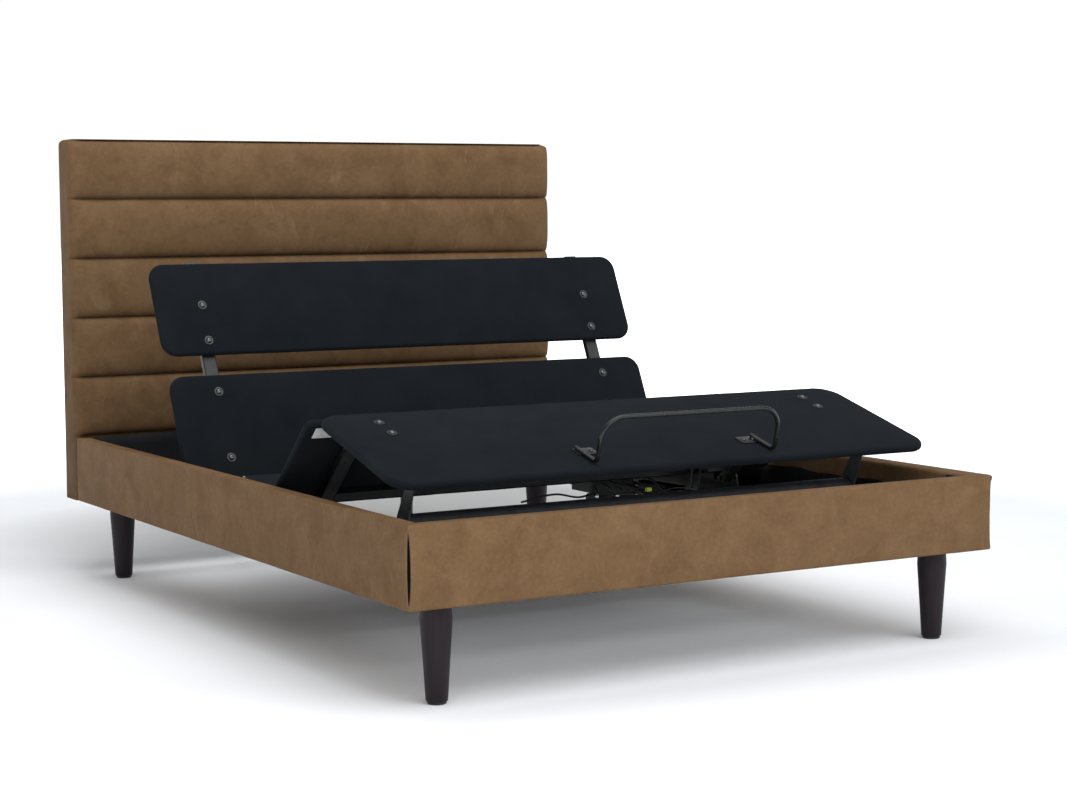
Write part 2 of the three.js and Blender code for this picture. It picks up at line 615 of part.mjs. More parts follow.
function actuatorBody() {
  const tube = alongY(roundedRect(-17, 17, -17, 17, 5), 30, HOUSING_LENGTH);
  const gearbox = alongY(roundedRect(-64, 20, -22, 22, 8), 14, 74);
  const motor = new THREE.CylinderGeometry(21, 21, 110, 24).translate(-41, 125, 0);
  const lug = alongX(rearEye(12), -11.5, 11.5);
  const hollow = new THREE.CylinderGeometry(ROD_RADIUS + 2, ROD_RADIUS + 2, 200, 24)
    .translate(0, HOUSING_LENGTH - 98, 0);
  return weld([tube, gearbox, motor, lug], [hollow, bore(-14, 14, [0, 0], ACTUATOR_BORE)]);
}

// a lug with a round nose about the origin, running back into the gearbox
function rearEye(radius) {
  const shape = new THREE.Shape();
  shape.moveTo(20, -radius);
  shape.lineTo(20, radius);
  shape.lineTo(0, radius);
  shape.absarc(0, 0, radius, Math.PI / 2, 1.5 * Math.PI, false);
  return shape;
}

function actuatorRod(length) {
  const rod = new THREE.CylinderGeometry(ROD_RADIUS, ROD_RADIUS, length - 290, 20)
    .translate(0, (length + 290) / 2, 0);
  const eye = alongX(roundedRect(length - 26, length + 13, -12, 12, 9), -9, 9);
  return weld([rod, eye]);
}

function addActuator(name, x, base, tip, flip) {
  const reach = [tip[0] - base[0], tip[1] - base[1]];
  const length = Math.hypot(...reach);
  const angle = THREE.MathUtils.radToDeg(Math.atan2(reach[1], Math.abs(reach[0])));
  const group = body(base, flip ? -angle : angle);
  for (const [part, geometry, material] of [[name, actuatorBody(), blackPlastic],
    [`${name}_rod`, actuatorRod(length), rodSteel]]) {
    if (flip) geometry.rotateZ(Math.PI);
    add(group, part, geometry.translate(x, 0, 0), material);
  }
}

function addActuators() {
  addActuator('head_actuator', HEAD_ACTUATOR_X, HEAD_ACTUATOR_BASE,
    plus(backPivot, turned(backCrank, BACK_ANGLE)), false);
  addActuator('foot_actuator', FOOT_ACTUATOR_X, FOOT_ACTUATOR_BASE,
    plus(thighPivot, turned(thighCrank, -THIGH_ANGLE)), true);
}

// ---------- electrics under the seat ----------
function cable(route) {
  const path = new THREE.CatmullRomCurve3(route.map((p) => new THREE.Vector3(...p)));
  const section = new THREE.Shape().absarc(0, 0, 3, 0, 2 * Math.PI, false);
  return new THREE.ExtrudeGeometry(section, { steps: 26, curveSegments: 4, extrudePath: path });
}

function addElectrics() {
  const ceiling = DECK_TOP - PANEL_THICK - GAP;
  add(bed, 'control_box', alongZ(roundedRect(250, 390, -150, -40, 8), 302, ceiling), greyPlastic);
  add(bed, 'power_supply', alongZ(roundedRect(250, 320, 60, 190, 8), 306, ceiling), blackPlastic);
  add(bed, 'head_actuator_cable', cable([[391.5, -60, 322], [410, -60, 323], [440, -62, 326],
    [484, -66, 322], [508, -70, 311], [522, -80, 296], [526, -96, 286], [525, -122.5, 282]]), cableRubber);
  add(bed, 'foot_actuator_cable', cable([[330, -38.5, 322], [331, -20, 323], [338, 8, 327],
    [372, 44, 331], [424, 82, 332], [478, 110, 331], [512, 124, 318], [523, 138, 300],
    [526, 154, 285], [525, 178, 279.8]]), cableRubber);
}

addHeadboard();
addRails();
addCornerBrackets();
addLegs();
addSupportLeg();
addBaseFrame();
addSeat();
addBackSection();
addThighSection();
addLegSection();
addFootLink();
addActuators();
addElectrics();

export default bed;
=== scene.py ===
"""Looks for an upholstered adjustable bed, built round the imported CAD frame. Metres, +Z up."""
import json
import math

import bmesh
import bpy
from mathutils import Matrix, Vector, noise


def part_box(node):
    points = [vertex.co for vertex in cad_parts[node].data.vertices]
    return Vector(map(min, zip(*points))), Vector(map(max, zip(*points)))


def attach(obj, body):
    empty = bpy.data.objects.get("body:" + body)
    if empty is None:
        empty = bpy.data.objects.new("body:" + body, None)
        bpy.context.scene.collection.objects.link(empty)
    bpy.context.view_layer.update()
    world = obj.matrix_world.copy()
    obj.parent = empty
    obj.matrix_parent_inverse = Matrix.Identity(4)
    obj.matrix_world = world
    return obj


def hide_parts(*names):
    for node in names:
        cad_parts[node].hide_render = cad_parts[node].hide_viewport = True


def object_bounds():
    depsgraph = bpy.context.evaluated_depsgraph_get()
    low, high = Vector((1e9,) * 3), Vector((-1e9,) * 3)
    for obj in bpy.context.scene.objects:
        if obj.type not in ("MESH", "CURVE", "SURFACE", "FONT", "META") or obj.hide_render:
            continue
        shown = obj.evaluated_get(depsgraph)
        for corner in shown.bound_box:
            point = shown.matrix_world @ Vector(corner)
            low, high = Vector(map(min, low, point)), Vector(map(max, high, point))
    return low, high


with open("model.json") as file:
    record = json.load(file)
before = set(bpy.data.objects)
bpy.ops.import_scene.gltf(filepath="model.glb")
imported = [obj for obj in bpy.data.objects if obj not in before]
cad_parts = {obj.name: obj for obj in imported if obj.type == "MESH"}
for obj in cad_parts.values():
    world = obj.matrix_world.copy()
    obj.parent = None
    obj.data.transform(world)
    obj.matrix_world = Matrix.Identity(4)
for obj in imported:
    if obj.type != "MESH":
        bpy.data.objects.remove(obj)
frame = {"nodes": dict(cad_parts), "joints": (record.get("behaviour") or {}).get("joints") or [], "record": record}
cad_low, cad_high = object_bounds()
nodes = frame["nodes"]
scene = bpy.context.scene

# ---------- places taken from the frame ----------
JOINTS = {joint["name"]: joint for joint in frame["joints"]}
SIDES = (("left", -1), ("right", 1))


def joint_point(name):
    return Vector(JOINTS[name]["pos_m"])


BACK_PIVOT = joint_point("back_lift")
THIGH_PIVOT = joint_point("thigh_lift")
KNEE_PIVOT = joint_point("knee_fold")
LINK_PIVOT = joint_point("foot_link_swing")
BACK_ANGLE = -JOINTS["back_lift"]["range_deg"][0]         # each section's tilt in the rest pose, degrees
THIGH_ANGLE = -JOINTS["thigh_lift"]["range_deg"][0]
LEG_ANGLE = 15.6
LINK_ANGLE = 61.03
SEAT_LOW, SEAT_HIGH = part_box("seat_panel")[0].z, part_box("seat_panel")[1].z
PANEL_THICK = round(SEAT_HIGH - SEAT_LOW, 4)
PANEL_RISE = round(SEAT_LOW - THIGH_PIVOT.z, 4)           # from a section's pivot up to its panel

RAIL_LOW, RAIL_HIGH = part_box("footboard_cover")[0].z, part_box("footboard_cover")[1].z
HALF_WIDTH = cad_high.x
RAIL_THICK = 0.050
FOOT_FRONT = cad_low.y
HEAD_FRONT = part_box("headboard_cover")[0].y
HEAD_BACK = cad_high.y
HEAD_TOP = cad_high.z
CHANNELS = 5
CHANNEL_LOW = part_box("headboard_cover")[0].z

# ---------- camera ----------
CAMERA_PLACE = (-2.9125, -5.2592, 1.0793)
CAMERA_YAW = math.radians(30.25)       # from +Y towards +X
CAMERA_DOWN = math.radians(4.93)
CAMERA_ROLL = math.radians(-0.35)
CAMERA_LENS = 74.04


def make_camera():
    forward = Vector((math.sin(CAMERA_YAW) * math.cos(CAMERA_DOWN),
                      math.cos(CAMERA_YAW) * math.cos(CAMERA_DOWN), -math.sin(CAMERA_DOWN)))
    level = Vector((math.cos(CAMERA_YAW), -math.sin(CAMERA_YAW), 0))
    upright = level.cross(forward)
    right = level * math.cos(CAMERA_ROLL) + upright * math.sin(CAMERA_ROLL)
    up = upright * math.cos(CAMERA_ROLL) - level * math.sin(CAMERA_ROLL)
    data = bpy.data.cameras.new("camera")
    data.lens = CAMERA_LENS
    data.sensor_width = 36
    data.clip_end = 200
    camera = bpy.data.objects.new("camera", data)
    turn = Matrix((right, up, -forward)).transposed().to_4x4()
    camera.matrix_world = Matrix.Translation(CAMERA_PLACE) @ turn
    scene.collection.objects.link(camera)
    scene.camera = camera


# ---------- node materials ----------
class Nodes:
    """A short way to write a material's node tree."""

    def __init__(self, name):
        self.material = bpy.data.materials.new(name)
        self.material.use_nodes = True
        self.tree = self.material.node_tree
        self.shader = self.tree.nodes["Principled BSDF"]
        self.place = self.add("ShaderNodeTexCoord").outputs["Object"]

    def add(self, kind, **settings):
        node = self.tree.nodes.new(kind)
        for key, value in settings.items():
            setattr(node, key, value)
        return node

    def link(self, output, socket):
        self.tree.links.new(output, socket)

    def set(self, **values):
        for key, value in values.items():
            self.shader.inputs[key.replace("_", " ")].default_value = value

    def scaled(self, scale):
        mapping = self.add("ShaderNodeMapping")
        self.link(self.place, mapping.inputs["Vector"])
        mapping.inputs["Scale"].default_value = scale
        return mapping.outputs["Vector"]

    def noise(self, scale, detail=3.0, stretch=None, rough=0.55, distort=0.0):
        node = self.add("ShaderNodeTexNoise")
        self.link(self.scaled(stretch) if stretch else self.place, node.inputs["Vector"])
        node.inputs["Scale"].default_value = scale
        node.inputs["Detail"].default_value = detail
        node.inputs["Roughness"].default_value = rough
        node.inputs["Distortion"].default_value = distort
        return node.outputs["Fac"]

    def cells(self, scale):
        node = self.add("ShaderNodeTexVoronoi")
        self.link(self.place, node.inputs["Vector"])
        node.inputs["Scale"].default_value = scale
        return node.outputs["Distance"]

    def ramp(self, value, stops):
        node = self.add("ShaderNodeValToRGB")
        self.link(value, node.inputs["Fac"])
        elements = node.color_ramp.elements
        while len(elements) < len(stops):
            elements.new(0.5)
        for element, (at, colour) in zip(elements, stops):
            element.position = at
            element.color = (*(colour if len(colour) == 3 else colour * 3), 1)
        return node.outputs["Color"]

    def mix(self, amount, a, b, blend="MIX"):
        node = self.add("ShaderNodeMix", data_type="RGBA", blend_type=blend)
        for socket, value in ((node.inputs[0], amount), (node.inputs[6], a), (node.inputs[7], b)):
            if isinstance(value, (float, int)):
                socket.default_value = value
            elif isinstance(value, tuple):
                socket.default_value = (*value, 1)
            else:
                self.link(value, socket)
        return node.outputs[2]

    def add_bump(self, height, strength, distance, under=None):
        node = self.add("ShaderNodeBump")
        node.inputs["Strength"].default_value = strength
        node.inputs["Distance"].default_value = distance
        self.link(height, node.inputs["Height"])
        if under is not None:
            self.link(under, node.inputs["Normal"])
        return node.outputs["Normal"]

    def finish(self, colour=None, roughness=None, normal=None):
        for name, output in (("Base Color", colour), ("Roughness", roughness), ("Normal", normal)):
            if output is not None:
                self.link(output, self.shader.inputs[name])
        return self.material


def shaded(colour, share):
    """The same colour, darker below 1 and lighter above."""
    return tuple(c * share for c in colour)


def leather(name, crease_stretch, tone):
    """Waxed tan leatherette: softly clouded, short pale creases across the pull, fine pebbled grain."""
    n = Nodes(name)
    dark = shaded((0.128, 0.0745, 0.0365), tone)
    middle = shaded((0.158, 0.0945, 0.0480), tone)
    pale = shaded((0.192, 0.1190, 0.0645), tone)
    clouds = n.noise(11, 6, rough=0.68, distort=0.5)
    colour = n.ramp(clouds, [(0.30, dark), (0.52, middle), (0.76, pale)])
    streaks = n.noise(1.0, 5, stretch=crease_stretch, rough=0.72, distort=1.3)
    streak_mask = n.ramp(streaks, [(0.57, (0.0,)), (0.70, (1.0,))])
    patches = n.ramp(n.noise(6, 2), [(0.45, (0.1,)), (0.62, (1.0,))])
    marks = n.mix(1.0, streak_mask, patches, "MULTIPLY")
    pale_mark = shaded((0.285, 0.190, 0.104), tone)
    colour = n.mix(n.mix(0.55, (0, 0, 0), marks), colour, pale_mark)
    flecks = n.noise(95, 3, rough=0.7)
    colour = n.mix(0.18, colour, n.ramp(flecks, [(0.35, (0.3,)), (0.7, (0.75,))]), "OVERLAY")
    roughness = n.ramp(n.noise(18, 4), [(0.3, (0.50,)), (0.7, (0.62,))])
    normal = n.add_bump(streaks, 0.22, 0.003)
    normal = n.add_bump(n.noise(40, 4, rough=0.65), 0.14, 0.0018, normal)
    normal = n.add_bump(n.cells(850), 0.20, 0.0005, normal)
    n.set(Specular_IOR_Level=0.022)
    return n.finish(colour, roughness, normal)


def deck_cloth(name, tone=1.0):
    """Charcoal polyester cover: fine weave, faint lint and a soft sheen."""
    n = Nodes(name)
    base = n.ramp(n.noise(9, 4, rough=0.6), [(0.3, shaded((0.0060, 0.0080, 0.0102), tone)),
                                            (0.7, shaded((0.0086, 0.0108, 0.0132), tone))])
    weave = n.noise(1, 2, stretch=(900, 300, 900), rough=0.4)
    colour = n.mix(0.35, base, n.ramp(weave, [(0.35, (0.35,)), (0.65, (0.65,))]), "OVERLAY")
    normal = n.add_bump(n.noise(30, 4, rough=0.6), 0.12, 0.002)
    normal = n.add_bump(weave, 0.35, 0.0004, normal)
    n.set(Roughness=0.95, Specular_IOR_Level=0.06, Sheen_Weight=0.012, Sheen_Roughness=0.5,
          Sheen_Tint=(0.80, 0.88, 1.0, 1))
    return n.finish(colour, None, normal)


def lining_cloth(name):
    """Thin black dust-cover fabric with a pressed dot pattern."""
    n = Nodes(name)
    colour = n.ramp(n.noise(14, 4), [(0.3, (0.0055, 0.006, 0.007)), (0.7, (0.011, 0.012, 0.013))])
    normal = n.add_bump(n.noise(16, 3), 0.3, 0.004)
    normal = n.add_bump(n.cells(420), 0.3, 0.0004, normal)
    n.set(Roughness=0.95, Specular_IOR_Level=0.15)
    return n.finish(colour, None, normal)


def painted_steel(name, colour, roughness=0.38):
    """Powder coat: slight orange peel, rubbed a little on the high spots."""
    n = Nodes(name)
    tint = n.ramp(n.noise(22, 4), [(0.3, shaded(colour, 0.8)), (0.7, shaded(colour, 1.2))])
    rough = n.ramp(n.noise(55, 3), [(0.3, (roughness - 0.08,)), (0.7, (roughness + 0.10,))])
    normal = n.add_bump(n.noise(700, 2), 0.12, 0.0004)
    n.set(Specular_IOR_Level=0.35)
    return n.finish(tint, rough, normal)


def bare_metal(name, colour, roughness=0.25):
    """Unpainted steel or zinc, brushed along one way."""
    n = Nodes(name)
    rough = n.ramp(n.noise(90, 3, stretch=(1, 6, 1)), [(0.3, (roughness - 0.07,)), (0.7, (roughness + 0.1,))])
    tint = n.ramp(n.noise(30, 3), [(0.3, shaded(colour, 0.85)), (0.7, colour)])
    n.set(Metallic=1.0)
    return n.finish(tint, rough, n.add_bump(n.noise(260, 2), 0.08, 0.0004))


def moulded(name, colour, roughness=0.5):
    """Moulded plastic or rubber with a spark-eroded grain."""
    n = Nodes(name)
    tint = n.ramp(n.noise(26, 3), [(0.3, shaded(colour, 0.85)), (0.7, shaded(colour, 1.1))])
    rough = n.ramp(n.noise(120, 3), [(0.3, (roughness - 0.07,)), (0.7, (roughness + 0.09,))])
    return n.finish(tint, rough, n.add_bump(n.noise(900, 2), 0.2, 0.0003))


def timber(name, dark, pale, stretch, roughness):
    """Stained or raw wood: wandering figure with finer grain over it."""
    n = Nodes(name)
    wander = n.noise(1, 5, stretch=stretch, rough=0.6, distort=1.2)
    grain = n.noise(6, 4, stretch=stretch, rough=0.7)
    colour = n.mix(0.5, n.ramp(wander, [(0.35, dark), (0.65, pale)]),
                   n.ramp(grain, [(0.4, dark), (0.6, pale)]))
    n.set(Roughness=roughness, Specular_IOR_Level=0.22, Coat_Weight=0.03, Coat_Roughness=0.35)
    return n.finish(colour, None, n.add_bump(grain, 0.15, 0.0006))


RANGE_INPUTS = ("From Min", "From Max", "To Min", "To Max")
GLOW_CENTRE = (0.5, 0.9, 0)      # the paper floor has a painted glow (emission) further than this from its centre
GLOW_NEAR, GLOW_FAR, GLOW_POWER = 2.1, 3.9, 1.1
SHADE_CENTRE = (0.45, 1.85, 0)   # and a painted shadow of the headboard, greyer in an oval behind it
SHADE_NEAR, SHADE_FAR = 0.35, 0.95


def paper(name):
    """A pale floor with a painted glow (emission) that brightens it away from the bed, and a painted shadow in an
    oval behind the headboard.
    """
    n = Nodes(name)
    far = n.add("ShaderNodeVectorMath", operation="DISTANCE")
    n.link(n.place, far.inputs[0])
    far.inputs[1].default_value = GLOW_CENTRE
    # painted light: the floor's emission grows with distance from the bed
    glow = n.add("ShaderNodeMapRange", interpolation_type="SMOOTHSTEP")
    n.link(far.outputs["Value"], glow.inputs["Value"])
    for key, value in zip(RANGE_INPUTS, (GLOW_NEAR, GLOW_FAR, 0.0, GLOW_POWER)):
        glow.inputs[key].default_value = value
    n.link(glow.outputs["Result"], n.shader.inputs["Emission Strength"])
    tint = n.ramp(n.noise(3, 3), [(0.3, (0.84, 0.86, 0.89)), (0.7, (0.86, 0.88, 0.91))])
    # painted shadow: the floor colour greys in an oval behind the headboard
    behind = n.add("ShaderNodeVectorMath", operation="DISTANCE")
    n.link(n.scaled((0.55, 1, 1)), behind.inputs[0])
    behind.inputs[1].default_value = SHADE_CENTRE
    shade = n.ramp(behind.outputs["Value"], [(SHADE_NEAR, (0.52, 0.515, 0.50)), (SHADE_FAR, (1, 1, 1))])
    n.set(Roughness=0.8, Specular_IOR_Level=0.2, Emission_Color=(1, 1, 1, 1))
    return n.finish(n.mix(1.0, tint, shade, "MULTIPLY"))


MATERIALS = {
    # The headboard's copy of the leather is toned darker (0.70) than the rails' (0.90): painted shade on the
    # headboard.
    "headboard_leather": leather("headboard_leather", (9, 9, 3.2), 0.70),
    "rail_leather": leather("rail_leather", (9, 9, 1.3), 0.90),
    "deck_cloth": deck_cloth("deck_cloth"),
    # The back and head panels' copy of the deck cloth is toned darker (0.85): painted shade on the raised back.
    "back_cloth": deck_cloth("back_cloth", 0.85),
    "lining": lining_cloth("lining"),
    "frame_steel": painted_steel("frame_steel", (0.0045, 0.0055, 0.0060)),
    "link_steel": painted_steel("link_steel", (0.034, 0.036, 0.041), 0.55),
    "retainer_steel": painted_steel("retainer_steel", (0.008, 0.009, 0.010), 0.22),
    "bolt_black": painted_steel("bolt_black", (0.012, 0.013, 0.014), 0.32),
    "bolt_head": bare_metal("bolt_head", (0.11, 0.11, 0.115), 0.30),
    "rod_steel": bare_metal("rod_steel", (0.55, 0.56, 0.58)),
    "zinc": bare_metal("zinc", (0.62, 0.62, 0.63), 0.22),
    "black_plastic": moulded("black_plastic", (0.0075, 0.0075, 0.0080)),
    "dark_plastic": moulded("dark_plastic", (0.014, 0.015, 0.016)),
    "grey_plastic": moulded("grey_plastic", (0.22, 0.23, 0.24)),
    "pale_plastic": moulded("pale_plastic", (0.55, 0.56, 0.55), 0.4),
    "yellow_plastic": moulded("yellow_plastic", (0.55, 0.62, 0.06), 0.4),
    "red_plastic": moulded("red_plastic", (0.30, 0.03, 0.02), 0.4),
    "violet_plastic": moulded("violet_plastic", (0.08, 0.05, 0.25), 0.4),
    "cable": moulded("cable", (0.010, 0.010, 0.011), 0.45),
    "label": moulded("label", (0.62, 0.63, 0.62), 0.5),
    "leg_wood": timber("leg_wood", (0.0080, 0.0042, 0.0064), (0.0150, 0.0090, 0.0125), (14, 14, 1.6), 0.55),
    "board": timber("board", (0.30, 0.20, 0.11), (0.46, 0.33, 0.20), (2, 2, 12), 0.75),
    "paper": paper("paper"),
}


# ---------- mesh helpers ----------
def mesh_object(name, points, faces, material, smooth=True):
    """A linked mesh object from points and faces, in one of the materials above."""
    mesh = bpy.data.meshes.new(name)
    mesh.from_pydata([tuple(p) for p in points], [], faces)
    mesh.materials.append(MATERIALS[material])
    mesh.validate()
    if smooth:
        mesh.shade_smooth()
    piece = bpy.data.objects.new(name, mesh)
    scene.collection.objects.link(piece)
    return piece


def settle(piece, body, slot, *replaced):
    """Puts a finished piece on its CAD body."""
    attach(piece, body)
    if replaced:
        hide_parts(*replaced)
    return piece


def turned(place, pivot, degrees):
    """A point given relative to a pivot in a section's own frame, turned about X into the row frame."""
    return pivot + Matrix.Rotation(math.radians(degrees), 3, "X") @ Vector(place)


def on_seat(x, y, z):
    return Vector((x, y, THIGH_PIVOT.z + z))


def on_back(x, y, z):
    return turned((x, y, z), BACK_PIVOT, BACK_ANGLE)


def on_thigh(x, y, z):
    return turned((x, y, z), THIGH_PIVOT, -THIGH_ANGLE)


def on_leg(x, y, z):
    return turned((x, y, z), KNEE_PIVOT, LEG_ANGLE)


def on_link(x, y, z):
    return turned((x, y, z), LINK_PIVOT, -LINK_ANGLE)


def as_is(x, y, z):
    return Vector((x, y, z))


def ring_faces(rings, count):
    """Faces between rings of count points each, numbered ring after ring."""
    faces = []
    for i in range(rings - 1):
        a, b = i * count, (i + 1) * count
        for k in range(count):
            m = (k + 1) % count
            faces.append((a + k, a + m, b + m, b + k))
    return faces


def loft(name, rings, material):
    """Skins a list of rings with the same number of points; the ends are closed with a fan."""
    count = len(rings[0])
    points = [p for ring in rings for p in ring]
    faces = ring_faces(len(rings), count)
    for ring, start, flip in ((rings[0], 0, True), (rings[-1], (len(rings) - 1) * count, False)):
        centre = len(points)
        points.append(sum((Vector(p) for p in ring), Vector()) / count)
        for k in range(count):
            face = (start + k, start + (k + 1) % count, centre)
            faces.append(face[::-1] if flip else face)
    piece = mesh_object(name, points, faces, material)
    fix_normals(piece)
    return piece


def fix_normals(piece):
    """Turns every face outwards."""
    work = bmesh.new()
    work.from_mesh(piece.data)
    bmesh.ops.recalc_face_normals(work, faces=work.faces)
    work.to_mesh(piece.data)
    work.free()


def tube(name, path, radius, material, sides):
    """A round bar along a list of points, with ends rounded off."""
    path = [Vector(p) for p in path]
    after = path[1:] + path[-1:]
    before = path[:1] + path[:-1]
    tangents = [(b - a).normalized() for a, b in zip(before, after)]
    side = tangents[0].orthogonal().normalized()
    rings = []
    for place, along in zip(path, tangents):
        side = (side - along * side.dot(along)).normalized()
        other = along.cross(side)
        ring = []
        for k in range(sides):
            a = 2 * math.pi * k / sides
            ring.append(place + (side * math.cos(a) + other * math.sin(a)) * radius)
        rings.append(ring)
    for end, step in ((0, -1), (len(path) - 1, 1)):
        cap = []
        place, along = path[end], tangents[end] * step
        base = rings[0] if end == 0 else rings[-1]
        for share in (0.5, 0.87):
            lift = radius * 0.5 * share
            cap.append([place + along * lift + (Vector(p) - place) * math.sqrt(1 - share ** 2) for p in base])
        rings = (cap[::-1] + rings) if end == 0 else (rings + cap)
    return loft(name, rings, material)


def smooth_path(points, step):
    """Catmull-Rom through given points, in even short steps."""
    p = [Vector(q) for q in points]
    p = [p[0] * 2 - p[1]] + p + [p[-1] * 2 - p[-2]]
    out = []
    for i in range(1, len(p) - 2):
        count = max(2, int((p[i + 1] - p[i]).length / step))
        for k in range(count):
            t = k / count
            out.append(0.5 * ((2 * p[i]) + (p[i + 1] - p[i - 1]) * t
                              + (2 * p[i - 1] - 5 * p[i] + 4 * p[i + 1] - p[i + 2]) * t * t
                              + (3 * p[i] - p[i - 1] - 3 * p[i + 1] + p[i + 2]) * t ** 3))
    out.append(p[-2])
    return out


def lathe(name, profile, place, material, sides=64, axis=None):
    """Turns (radius, height) pairs about an axis through place; the axis is +Z unless given."""
    turn = Vector((0, 0, 1)).rotation_difference(Vector(axis)).to_matrix() if axis else Matrix.Identity(3)
    rings = []
    for radius, height in profile:
        rings.append([Vector(place) + turn @ Vector((radius * math.cos(2 * math.pi * k / sides),
                                                      radius * math.sin(2 * math.pi * k / sides), height))
                      for k in range(sides)])
    return loft(name, rings, material)


def rounded_outline(x0, x1, y0, y1, radius, arc=8, step=0.03):
    """Points round a rectangle with round corners, anticlockwise, with extra points on the straights."""
    corners = (((x1 - radius, y0 + radius), -90), ((x1 - radius, y1 - radius), 0),
               ((x0 + radius, y1 - radius), 90), ((x0 + radius, y0 + radius), 180))
    points = []
    for (cx, cy), start in corners:
        for k in range(arc + 1):
            a = math.radians(start + 90 * k / arc)
            points.append((cx + radius * math.cos(a), cy + radius * math.sin(a)))
    full = []
    for i, (ax, ay) in enumerate(points):
        bx, by = points[(i + 1) % len(points)]
        count = max(1, int(math.hypot(bx - ax, by - ay) / step))
        full += [(ax + (bx - ax) * k / count, ay + (by - ay) * k / count) for k in range(count)]
    return full


def rounded_block(name, x0, x1, y0, y1, z0, z1, radius, edge, material, place=as_is):
    """A plate with round corners seen from above and rounded top and bottom edges."""
    rings = []
    for share in (0, 0.35, 0.7, 1):
        inset = edge * (1 - math.sin(math.pi / 2 * share))
        rise = edge * (1 - math.cos(math.pi / 2 * share))
        rings.append((inset, z0 + rise))
    rings += [(inset, z1 - (z - z0)) for inset, z in rings[::-1]]
    whole = []
    for inset, z in rings:
        outline = rounded_outline(x0 + inset, x1 - inset, y0 + inset, y1 - inset,
                                  max(radius - inset, 0.0004), step=10)
        whole.append([place(x, y, z) for x, y in outline])
    return loft(name, whole, material)


def wobble(x, y, z, scale, amount):
    return noise.noise(Vector((x, y, z)) * scale) * amount


# ---------- upholstery ----------
OUTER_ROUND = 0.006
INNER_ROUND = 0.010
TOP_FALL = 0.002             # the padded top of a rail falls this much towards the inside
CLOSE_STEP = 0.012
SLIT_ENDS, SLIT_OPEN = 0.0005, 0.0080      # half widths of the slit at a foot corner


def rail_section():
    """Points round a rail's section, as (in from the outer face, up)."""
    low, high, thick = RAIL_LOW, RAIL_HIGH, RAIL_THICK
    points = []
    for (ca, cz), start in (((thick - INNER_ROUND, low + INNER_ROUND), -90),
                            ((thick - INNER_ROUND, high - INNER_ROUND - TOP_FALL), 0),
                            ((OUTER_ROUND, high - OUTER_ROUND), 90), ((OUTER_ROUND, low + OUTER_ROUND), 180)):
        r = INNER_ROUND if start < 90 else OUTER_ROUND
        for k in range(7):
            a = math.radians(start + 90 * k / 6)
            points.append((ca + r * math.cos(a), cz + r * math.sin(a)))
    full = []
    for i, (a0, z0) in enumerate(points):
        a1, z1 = points[(i + 1) % len(points)]
        count = max(1, int(math.hypot(a1 - a0, z1 - z0) / CLOSE_STEP))
        full += [(a0 + (a1 - a0) * k / count, z0 + (z1 - z0) * k / count) for k in range(count)]
    return full


def rail_height(z):
    """0 at the bottom of a rail, 1 at its top."""
    return (z - RAIL_LOW) / (RAIL_HIGH - RAIL_LOW)


def softened(z, along, seed):
    """How far the leather stands off the plain rail: a slight crown, slow waves and short puckers."""
    height = rail_height(z)
    crown = 0.0012 * math.sin(math.pi * min(max(height, 0), 1))
    waves = wobble(along, seed, z * 0.5, 7, 0.0011) + wobble(along, seed + 5, z, 22, 0.0005)
    hem = math.exp(-(height / 0.10) ** 2) + 0.6 * math.exp(-((height - 1) / 0.08) ** 2)
    return crown + waves + hem * wobble(along, seed + 9, z * 0.3, 38, 0.0011) - 0.0012


def corner_gap(z):
    """Half the slit between a rail and the footboard: closed at top and bottom, open between."""
    height = (z - RAIL_LOW - 0.002) / (RAIL_HIGH - RAIL_LOW - 0.010)
    return SLIT_ENDS + SLIT_OPEN * math.sin(math.pi * min(max(height, 0), 1)) ** 0.34


def upholstered(across, z, along, seed, shrink):
    """Where a point of the section ends up once it is padded and, near a cut end, drawn in."""
    outward = (across / RAIL_THICK - 0.5) * 2
    return across + outward * (softened(z, along, seed) - shrink), z + (0.5 - rail_height(z)) * 2 * shrink


def make_side_rail(side, sign):
    """A leather sleeve from the footboard's mitre to the headboard."""
    section = rail_section()
    end_y = HEAD_FRONT - 0.0008
    rings = []
    for share, shrink in mitre_shares(end_y - FOOT_FRONT):
        ring = []
        for across, z in section:
            mitre = FOOT_FRONT + across + corner_gap(z)
            y = mitre + (end_y - mitre) * share
            inwards, height = upholstered(across, z, y, 11 * sign, shrink)
            ring.append((sign * (HALF_WIDTH - inwards), y, height))
        rings.append(ring)
    piece = loft(f"side_rail_leather_{side}", rings, "rail_leather")
    line_ends(piece, len(section))
    return settle(piece, "bed_frame", "leather", f"side_rail_cover_{side}", f"side_rail_board_{side}")


def line_ends(rail, count):
    """The cut ends of a rail are covered in black cloth; loft puts their faces last."""
    rail.data.materials.append(MATERIALS["lining"])
    for face in rail.data.polygons[-2 * count:]:
        face.material_index = 1


END_ROUND = 0.0035
RING_STEP = 0.016


def mitre_shares(length):
    """Places along a rail from 0 to 1, each with how far the section is drawn in there."""
    ends = [(0.0, 0.9), (0.15, 0.45), (0.45, 0.12), (1.0, 0.0)]
    head = [(place * END_ROUND / length, drawn * END_ROUND) for place, drawn in ends]
    count = int(length / RING_STEP)
    middle = [(k / count, 0.0) for k in range(1, count)]
    tail = [(1 - share, shrink) for share, shrink in head[::-1]]
    return head + middle + tail


